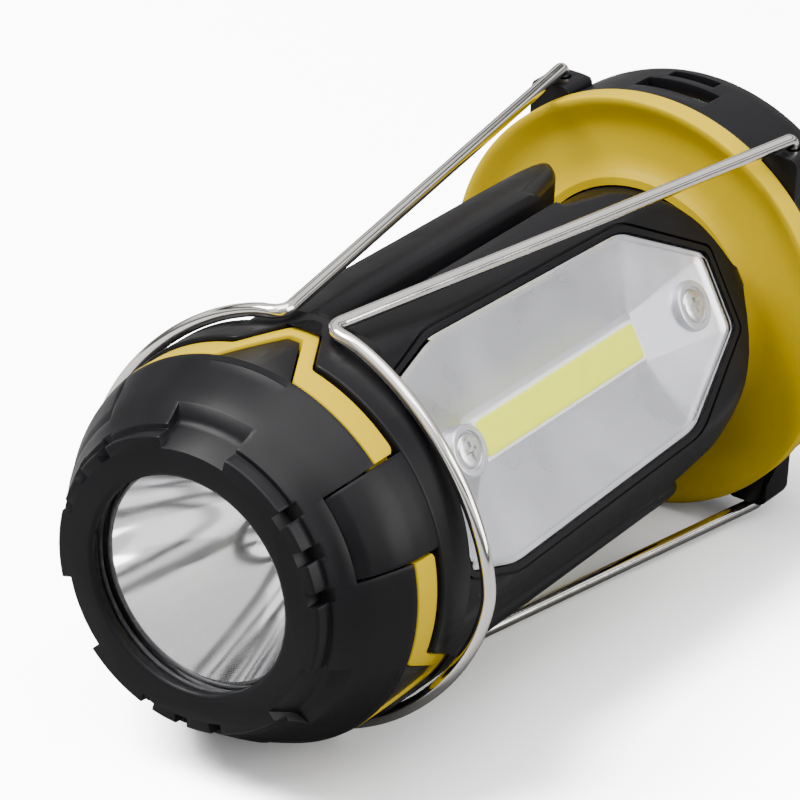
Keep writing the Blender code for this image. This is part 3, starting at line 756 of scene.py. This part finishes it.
def barrel_radius(y):
    """Radius of the barrel behind the collar, which rounds off at the far end."""
    if y < BARREL[0][0]:
        return COLLAR_RADIUS
    for (y0, r0), (y1, r1) in zip(BARREL, BARREL[1:]):
        if y <= y1:
            return r0 + (r1 - r0) * (y - y0) / (y1 - y0)
    return BARREL[-1][1]


def body_wall(angle, y):
    """Radius of the body's outside at an angle and a station behind the collar."""
    away = min(gap_to(angle, WINDOWS), 59)
    return smooth_min(barrel_radius(y), FLAT / cos(radians(away)), 0.9)


def body_profile(angle):
    """Closed (radius, y) outline of the body's wall at an angle."""
    front = TRIM_FRONT + TRIM_WIDTH + 2 * GAP + TRIM_PEAK * soft_zigzag(angle)
    spigot = [(25.0, 10.8), (27.6, 10.8), (SPIGOT_RADIUS, 11.4), (SPIGOT_RADIUS, front)]
    collar = rounded([
        (SPIGOT_RADIUS, front, 0), (COLLAR_RADIUS, front, 0.5), (COLLAR_RADIUS, COLLAR_REAR, 0),
    ], 4, False)
    barrel = [(body_wall(angle, y), y) for y in BODY_STATIONS]
    core = [(CORE_RADIUS, BODY_REAR), (CORE_RADIUS, CORE_REAR), (BODY_BORE, CORE_REAR)]
    bore = [(BODY_BORE, 25.8), (25.0, 24.0)]
    return spigot + collar[1:] + barrel + core + bore


def window_outline(margin):
    """The long octagon of a window, in (x, y), grown by a margin, with rounded corners."""
    fillet = 1.2
    return rounded(mirrored([
        (15.4 + margin * 0.7, 33.5 - margin, fillet),
        (18.2 + margin, 43.5, fillet * 2),
        (16.6 + margin, 96.3 + margin * 0.5, fillet * 2),
        (6.4 + margin * 0.5, 115.1 + margin, fillet),
    ]), 5)


def far_gap(valley):
    """Cutter for the gap between two window pads, which rounds over the pads' edges."""
    outline = rounded(mirrored([
        (2.2, 94.5, 0.5), (5.0, 104.6, 2), (9.8, 111.2, 3), (16.0, 117.8, 3), (20.2, 121.4, 0),
        (20.2, 124, 0),
    ]), 5)
    edge, foot = 2.0, 13.0
    angles = [pi * k / 10 for k in range(6)]
    flare = [(edge * (1 - cos(angle)), edge * sin(angle)) for angle in angles] + [(3.4, 4.5)]
    rings = [[(x, y, foot) for x, y in outline]]
    for k, (spread, rise) in enumerate(flare, 1):
        ring = []
        for x, y in outline:
            wide = x + (spread if x > 0 else -spread)
            height = sqrt(max(0, barrel_radius(y) ** 2 - wide ** 2)) - edge + rise
            ring.append((wide, y - spread * (y < 100), max(height, foot + 0.05 * k)))
        rings.append(ring)
    rings.append([(x * 1.2, y, CUT_TOP) for x, y in outline])
    return bridged(rings, radians(valley))


def valley_groove(valley):
    """Cutter for the groove along a valley, in line with the pads' gap."""
    front, rear = 37.5, 97
    rings = []
    for half, z in ((0.6, 26.0), (1.35, 28.4), (1.75, 29.2), (2.3, 29.75), (3.2, 30.2), (5.4, 31.2)):
        near = front - half
        corners = [(-half, near, half), (half, near, half), (half, rear, 0), (-half, rear, 0)]
        rings.append((rounded(corners, 4), z))
    return loft(rings, radians(valley))


def window_pocket(window):
    """Cutter for the pocket that holds a window's tray and cover."""
    outline = window_outline(GAP)
    return loft([(outline, TRAY_FLOOR - 1.3), (outline, CUT_TOP)], radians(window))


def frame_groove(window):
    """Cutter for the thin groove that runs round a window."""
    outer, inner = window_outline(1.7), window_outline(1.25)
    low, high = 22.9, 27
    return loft([(outer, low), (outer, high), (inner, high), (inner, low)], radians(window), True)


def core_ring():
    """The tube inside the body's far end, which closes the floor of the gaps."""
    low, high, front, rear = 17.3, CORE_RADIUS + 0.1, 90, 124.6
    return turned([(low, front), (high, front), (high, rear), (low, rear)])


def make_body():
    """The three-sided body: collar, window flats with pockets, and the gaps between pads."""
    angles = band_angles(1.5)
    body = to_object("body", sections([(angle, body_profile(angle)) for angle in angles], True))
    carve(
        body,
        ("DIFFERENCE", joined([far_gap(valley) for valley in VALLEYS])),
        ("UNION", core_ring()),
        ("DIFFERENCE", joined([valley_groove(valley) for valley in VALLEYS])),
        ("DIFFERENCE", joined([window_pocket(window) for window in WINDOWS])),
        ("DIFFERENCE", joined([frame_groove(window) for window in WINDOWS])),
    )
    soften(body, 0.3)
    finish_piece(body, black, ["body_shell"])


def make_tongues():
    """The three tongues that lock the head to the body."""
    profile = rounded([
        (26.3, 6.3, 0), (27.9, 7.9, 0.5), (30.2, 12.0, 1.5), (30.9, 14.6, 1), (31.4, 19.0, 1),
        (31.45, 21.7, 0), (29.6, 21.7, 0), (29.6, 14.2, 0), (27.4, 11.6, 0), (24.6, 6.9, 0),
    ], 4)
    tongues = to_object("tongues", arcs(WINDOWS, TONGUE_HALF, 14, profile))
    soften(tongues, 0.25)
    finish_piece(tongues, black)


# windows

def tray_solid():
    """The dished tray of a window, lying above the axis."""
    side, near, far = COB_WIDTH / 2 + 1.0, COB_SPAN[0] - 0.9, COB_SPAN[1] + 0.9
    floor = rounded(mirrored([
        (side - 0.4, near, 0.2), (side, near + 0.4, 0.2), (side, far - 0.4, 0.2),
        (side - 0.4, far, 0.2),
    ]), 5)
    outer, inner, top = window_outline(-0.1), window_outline(-0.9), COVER_FOOT - GAP
    return loft([(outer, TRAY_FLOOR - 1.0), (outer, top), (inner, top), (floor, TRAY_FLOOR)])


def standing(outline, y):
    """A turned solid that stands on the tray at a station, from (radius, height) points."""
    return placed(turned_solid([(r, -z) for r, z in outline], 40), -pi / 2, (0, y, 0))


def boss(y):
    """A screw boss: a drum with a rounded rim."""
    low, rim = TRAY_FLOOR - 0.6, COVER_FOOT - 0.15
    wall = rounded([(4.25, low, 0), (4.1, rim, 0.4), (3.3, rim, 0.2)], 4, False)[:-1]
    return standing([(0, low)] + wall + [(3.4, rim), (0, rim)], y)


def screw_seat(y):
    """Cutter for the seat round a screw's head and the hole below it."""
    low, hole = TRAY_FLOOR - 2, 1.35
    seat = [(0, FLAT), (3.25, FLAT), (3.05, BOSS_TOP), (hole, BOSS_TOP), (hole, low), (0, low)]
    return standing(seat, y)


def make_tray(number, turn):
    """A window's silver tray with its two bosses."""
    tray = to_object(f"tray_{number}", spun(tray_solid(), turn))
    bosses = joined([boss(y) for y in SCREW_STATIONS])
    seats = joined([screw_seat(y) for y in SCREW_STATIONS])
    carve(tray, ("UNION", spun(bosses, turn)), ("DIFFERENCE", spun(seats, turn)))
    finish_piece(tray, silver, [f"reflector_tray_{number}"], smooth=6)


def make_cover(number, turn):
    """A window's clear cover with a rounded edge."""
    rings = []
    for margin, z in ((0, COVER_FOOT), (0, FLAT - 0.5), (-0.35, FLAT - 0.12), (-1.0, COVER_TOP)):
        rings.append((window_outline(margin), z))
    nodes = [f"window_cover_{number}"]
    piece(f"cover_{number}", loft(rings, turn), cover, nodes, smooth=20)


def make_strip(number, turn):
    """A window's light strip: a white board with a raised pad of gel."""
    half, low = COB_WIDTH / 2, TRAY_FLOOR + GAP
    outline = rectangle(half, COB_SPAN[0], COB_SPAN[1], 0.5)
    board = loft([(outline, low - 0.28), (outline, low + 0.6)], turn)
    piece(f"strip_board_{number}", board, strip_white, [f"cob_strip_{number}"])
    side, near, far = half - 0.55, COB_SPAN[0] + 0.7, COB_SPAN[1] - 0.7
    rings = []
    for inset, rise in ((0, 0.5), (0, 0.8), (0.25, 0.98), (0.7, 1.0)):
        rings.append((rectangle(side - inset, near + inset, far - inset, 0.8), low + rise))
    piece(f"strip_gel_{number}", loft(rings, turn), gel)


def screw_solid(y, z):
    """A tray screw with a domed head, standing above the axis at a station."""
    outline = rounded([
        (0, 0, 0), (1.6, 0, 0), (2.5, -0.15, 0.3), (2.8, -0.6, 0), (1.0, -0.6, 0), (1.0, -2.6, 0),
        (0, -2.6, 0),
    ], 3, False)
    return placed(turned_solid(outline, 36), pi / 2, (0, y, z))


def make_screws(number, turn):
    """Both screws of a window, each with a cross recess."""
    z, depth, cross = COVER_FOOT - 0.05, 0.42, 1.7
    for name, y in zip(("near", "far"), SCREW_STATIONS):
        screw = to_object(f"screw_{name}_{number}", spun(screw_solid(y, z), turn))
        for along in (0.35, 1.35):
            across = cross - along
            arm = brick((-along, along), (y - across, y + across), (z - depth, z + 1), turn)
            carve(screw, ("DIFFERENCE", arm))
        finish_piece(screw, steel, [f"tray_screw_{name}_{number}"])


def make_window(number, turn):
    """Tray with bosses, cover, light strip and screws of one window."""
    make_tray(number, turn)
    make_cover(number, turn)
    make_strip(number, turn)
    make_screws(number, turn)


# flange, cap and electrics

def make_flange():
    """The dished yellow flange."""
    sleeve, lip, foot = CORE_RADIUS + 0.4, (DISC_LIP, DISC_FRONT + 0.1), 130.4
    dish = through([(21.5, BODY_REAR + 0.7), (22.6, 124.9), (25, 125.8), (30, 125.9), lip], 6)
    rim = rounded([
        (*lip, 0), (DISC_RADIUS, DISC_FRONT + 0.05, 0.5), (DISC_RADIUS, DISC_REAR, 0.5),
        (33.0, DISC_REAR, 0),
    ], 4, False)
    back = [(32.0, DISC_REAR + 0.4), (32.0, foot), (sleeve, foot)]
    profile = [(sleeve, BODY_REAR + 0.6)] + dish + rim[1:] + back
    piece("flange", turned(profile), yellow, ["flange_disc"])


def cap_outline():
    """(radius, y) outline of the cap's outside, from the axis round to the axis."""
    return rounded([
        (0, CAP_FRONT, 0), (34.9, CAP_FRONT, 0.5), (34.3, 141.8, 1.5), (33.6, 143.9, 0.8),
        (31.8, CAP_REAR, 0.6), (0, CAP_REAR, 0),
    ], 5, False)


def lug(side, level):
    """A hinge lug with rounded corners and a rounded top."""
    near, far, rear = 17.9, 25.2, 136.2
    rings = []
    for inset, z in ((0, 20), (0, 30.0), (0.25, 30.7), (0.8, 31.1), (1.3, 31.2)):
        a, b, end = side * (near + inset), side * (far - inset), rear - inset
        outline = [(a, CAP_FRONT, 0.2), (b, CAP_FRONT, 0.2), (b, end, 1.4), (a, end, 1.4)]
        rings.append((rounded(outline, 4), level * z))
    return loft(rings)


def hinge_hole(side, level):
    """Cutter for a wire end's hole in a lug."""
    radius, low, high = 1.5, 28.2, 34
    hole = turned_solid([(0, low), (radius, low), (radius, high), (0, high)], 24)
    return placed(hole, level * pi / 2, (side * HINGE_OUT, HINGE_Y, 0))


def cap_openings():
    """Cutters for both ports, the button's hole and the panel's recess."""
    cutters = []
    for y, width, height in ((USB_Y, 13.6, 4.6), (CHARGE_Y, 8.8, 2.6)):
        outline = rectangle(width / 2, y - height / 2, y + height / 2, 0.4)
        cutters.append(loft([(outline, 28), (outline, 38)], PORT_TURN))
    side, half, recess = 4.8, 2.4, 21.3
    cutters.append(brick((-side, side), (BUTTON_Y - half, BUTTON_Y + half), (31.7, 37), BUTTON_TURN))
    cutters.append(brick((-recess, recess), (143.4, 147), (-recess, recess)))
    return joined(cutters)


def make_cap():
    """The end cap with lugs, ports, button hole and the panel's recess."""
    corners = [(side, level) for side in (-1, 1) for level in (-1, 1)]
    bore, front, rear = 32.4, 126, 141.6
    cap = to_object("cap", turned_solid(cap_outline()))
    carve(
        cap,
        ("UNION", joined([lug(side, level) for side, level in corners])),
        ("DIFFERENCE", turned_solid([(0, front), (bore, front), (bore, rear), (0, rear)])),
        ("DIFFERENCE", joined([hinge_hole(side, level) for side, level in corners])),
        ("DIFFERENCE", cap_openings()),
    )
    soften(cap, 0.3)
    finish_piece(cap, black, ["end_cap"])


def make_socket(name, node, y, width, height, top, depth):
    """A sheet-metal socket with its contact blade."""
    x, h, sheet = width / 2, height / 2, 0.4
    outer = rectangle(x, y - h, y + h, 0.3)
    inner = rectangle(x - sheet, y - (h - sheet), y + (h - sheet), 0.3)
    shell = to_object(name, loft([(outer, top - depth), (outer, top)], PORT_TURN))
    hollow = loft([(inner, top - depth * 0.75), (inner, top + 1)], PORT_TURN)
    carve(shell, ("DIFFERENCE", hollow))
    finish_piece(shell, steel, [node])
    side, low, high = x - 1.2, y + height * 0.02, y + height * 0.22
    blade = brick((-side, side), (low, high), (top - depth * 0.8, top - 0.7), PORT_TURN)
    piece(f"{name}_blade", blade, contact_gold)


def make_panel():
    """The square solar panel in the cap's recess."""
    half, front, rear = 21.0, 143.7, 144.9
    outline = rectangle(half, -half, half, 0.5)
    panel = bridged([[(x, y, z) for x, z in outline] for y in (front, rear)])
    piece("panel", panel, cells, ["solar_panel"])


def finish_cad_nodes():
    """Materials of the CAD nodes inside the lantern that keep their own shape."""
    looks = {
        "main_board": board_green,
        "button_switch": rubber,
        "battery_cell": cell_wrap,
        "battery_holder": black,
    }
    for node, look in looks.items():
        materials = frame["nodes"][node].data.materials
        materials.clear()
        materials.append(look)


def make_button():
    """The rubber push button: a flange inside the cap and a raised pad."""
    levels = (
        (11.5, 5.4, 0), (11.5, 5.4, 1.1), (9.0, 4.2, 1.1), (9.0, 4.2, 4.6), (8.6, 3.8, 5.1),
        (7.6, 2.8, 5.3),
    )
    foot = 30.3
    rings = []
    for width, height, z in levels:
        outline = rectangle(width / 2, -height / 2, height / 2, 0.6)
        rings.append(([(x, y + BUTTON_Y) for x, y in outline], z + foot))
    button = loft(rings, BUTTON_TURN)
    piece("push_button", button, rubber, ["power_button"], "button", 30)


# bails

def wire_bend(before, corner, after, reach_back, steps):
    """Points of a bend that starts and ends a distance away from a corner."""
    start = corner + (before - corner).normalized() * reach_back
    end = corner + (after - corner).normalized() * reach_back
    return bend(start, corner, end, steps)


def bail_path():
    """Centre line of a bail from lug to lug, as (out, y, along the hinge) from the hinge."""
    half, out, corner_y = 32.8, 3.9, 27.8
    bulge, tip_y, fillet = 31.9, 25.9, 3.0
    steps, power = 72, 1.2
    corner = Vector((out - HINGE_OUT, corner_y - HINGE_Y, half))
    arc = []
    for i in range(steps + 1):
        angle = pi * i / steps
        rise = sin(angle) ** power
        spread = abs(cos(angle)) ** power * (1 if cos(angle) > 0 else -1)
        arc.append(corner + Vector((bulge * rise, (tip_y - corner_y) * rise, half * (spread - 1))))
    tip, knee = Vector((0, 0, 29.0)), Vector((0, 0, half))
    free = [p for p in arc if p.z > 0.01 and (p - corner).length > fillet * 1.3]
    middle = [p for p in arc if abs(p.z) < 0.01]
    side = [tip] + wire_bend(tip, knee, corner, 1.5, 8)
    side += wire_bend(knee, corner, free[0], fillet, 10) + free
    return side + middle + [Vector((p.x, p.y, -p.z)) for p in reversed(side)]


def swept(path, radius):
    """A round wire along a path, with flat ends."""
    segments = 20
    angles = [2 * pi * k / segments for k in range(segments)]
    rings = []
    side = None
    for i, p in enumerate(path):
        ahead = path[min(i + 1, len(path) - 1)] - path[max(i - 1, 0)]
        ahead.normalize()
        if side is None:
            side = ahead.orthogonal().normalized()
        else:
            side = (side - ahead * side.dot(ahead)).normalized()
        other = ahead.cross(side)
        rings.append([p + (side * cos(a) + other * sin(a)) * radius for a in angles])
    return bridged(rings)


def make_bail(name, side):
    """One wire bail."""
    path = [Vector((side * (p.x + HINGE_OUT), p.y + HINGE_Y, p.z)) for p in bail_path()]
    wire = swept(path, WIRE_RADIUS)
    piece(f"wire_{name}", wire, wire_chrome, [name], name, 60)


# stage

def towards(azimuth, elevation):
    """Direction from the lantern to a camera or a light; azimuth 0 stands at -Y."""
    a, e = radians(azimuth), radians(elevation)
    return Vector((sin(a) * cos(e), -cos(a) * cos(e), sin(e)))


def make_floor():
    """A wide pale floor, lighter for camera rays than for the light that it throws back."""
    seen, lit = (0.93, 0.93, 0.93), (0.07, 0.07, 0.07)
    bm = bmesh.new()
    bmesh.ops.create_grid(bm, x_segments=2, y_segments=2, size=4)
    mesh = bpy.data.meshes.new("floor")
    bm.to_mesh(mesh)
    bm.free()
    floor = bpy.data.objects.new("floor", mesh)
    bpy.context.collection.objects.link(floor)
    look = Look("floor", seen, 0.7)
    look.set(Specular_IOR_Level=0.1)
    path = look.tree.nodes.new("ShaderNodeLightPath").outputs["Is Camera Ray"]
    look.feed("Base Color", look.blend(path, lit, seen))
    mesh.materials.append(look.material)
    return floor


def make_light(name, azimuth, elevation, distance, size, power):
    """A square soft light aimed at the lantern."""
    light = bpy.data.lights.new(name, "AREA")
    light.shape = "SQUARE"
    light.size = size
    light.energy = power
    obj = bpy.data.objects.new(name, light)
    bpy.context.collection.objects.link(obj)
    back = towards(azimuth, elevation)
    obj.location = back * distance
    obj.rotation_euler = back.to_track_quat("Z", "Y").to_euler()
    return obj


def light_only(light, *targets):
    """Makes a light reach only some objects; everything still casts its shadow there."""
    group = bpy.data.collections.new(light.name)
    for target in targets:
        group.objects.link(target)
    light.light_linking.receiver_collection = group


def make_lights(floor):
    """Four soft lights round the lantern, and one for the floor alone."""
    make_light("key", azimuth=-45, elevation=52, distance=1.2, size=0.6, power=24)
    make_light("top", azimuth=60, elevation=78, distance=1.3, size=1.2, power=24)
    make_light("front", azimuth=5, elevation=30, distance=1.6, size=1.2, power=3)
    make_light("side", azimuth=104, elevation=24, distance=1.3, size=0.9, power=16)
    below = make_light("floor_light", azimuth=-50, elevation=58, distance=2.4, size=1.2, power=600)
    light_only(below, floor)


def make_world():
    """A surround that is white to the camera, and a studio of grey bands to all other rays."""
    bands = ((0.12, 0.15), (0.26, 0.95), (0.35, 0.95), (0.41, 0.05), (0.47, 0.05), (0.54, 0.95))
    world = bpy.data.worlds.new("surround")
    bpy.context.scene.world = world
    world.use_nodes = True
    nodes, links = world.node_tree.nodes, world.node_tree.links
    seen, lit = nodes["Background"], nodes.new("ShaderNodeBackground")
    place = nodes.new("ShaderNodeTexCoord")
    split, rise = nodes.new("ShaderNodeSeparateXYZ"), nodes.new("ShaderNodeValToRGB")
    path, mix = nodes.new("ShaderNodeLightPath"), nodes.new("ShaderNodeMixShader")
    seen.inputs["Color"].default_value = (1, 1, 1, 1)
    seen.inputs["Strength"].default_value = 3.0
    lit.inputs["Strength"].default_value = 1.15
    stops = rise.color_ramp.elements
    stops[0].color, stops[1].color = (0.12, 0.12, 0.12, 1), (1, 1, 1, 1)
    for height, grey in bands:
        stops.new(height).color = (grey, grey, grey, 1)
    links.new(place.outputs["Generated"], split.inputs[0])
    links.new(split.outputs["Z"], rise.inputs["Fac"])
    links.new(rise.outputs["Color"], lit.inputs["Color"])
    links.new(path.outputs["Is Camera Ray"], mix.inputs[0])
    links.new(lit.outputs[0], mix.inputs[1])
    links.new(seen.outputs[0], mix.inputs[2])
    links.new(mix.outputs[0], nodes["World Output"].inputs["Surface"])


def make_camera():
    """The camera at the photograph's angle, with its slight roll."""
    azimuth, elevation, distance, roll = 32.4, 26.3, 0.827, 3.93
    aim = Vector((-0.0114, 0, 0.0329))
    camera = bpy.data.cameras.new("camera")
    camera.lens = 236.85
    camera.sensor_width = 36
    camera.clip_start = 0.01
    obj = bpy.data.objects.new("camera", camera)
    bpy.context.collection.objects.link(obj)
    back = towards(azimuth, elevation)
    turn = back.to_track_quat("Z", "Y").to_matrix() @ Matrix.Rotation(radians(roll), 3, "Z")
    obj.matrix_world = Matrix.Translation(aim + back * distance) @ turn.to_4x4()
    bpy.context.scene.camera = obj


make_head()
make_lens()
make_seal()
make_bowl()
make_emitter()
make_trim()
make_body()
make_tongues()
for number, window in enumerate(WINDOWS, 1):
    make_window(number, radians(window))
make_flange()
make_cap()
make_socket("usb_socket", "usb_a_socket", USB_Y, 12.9, 4.4, 31.0, 13.5)
make_socket("charge_socket", "micro_usb_socket", CHARGE_Y, 7.8, 2.4, 31.4, 5.6)
make_panel()
finish_cad_nodes()
make_button()
make_bail("bail_right", 1)
make_bail("bail_left", -1)
make_lights(make_floor())
make_world()
make_camera()
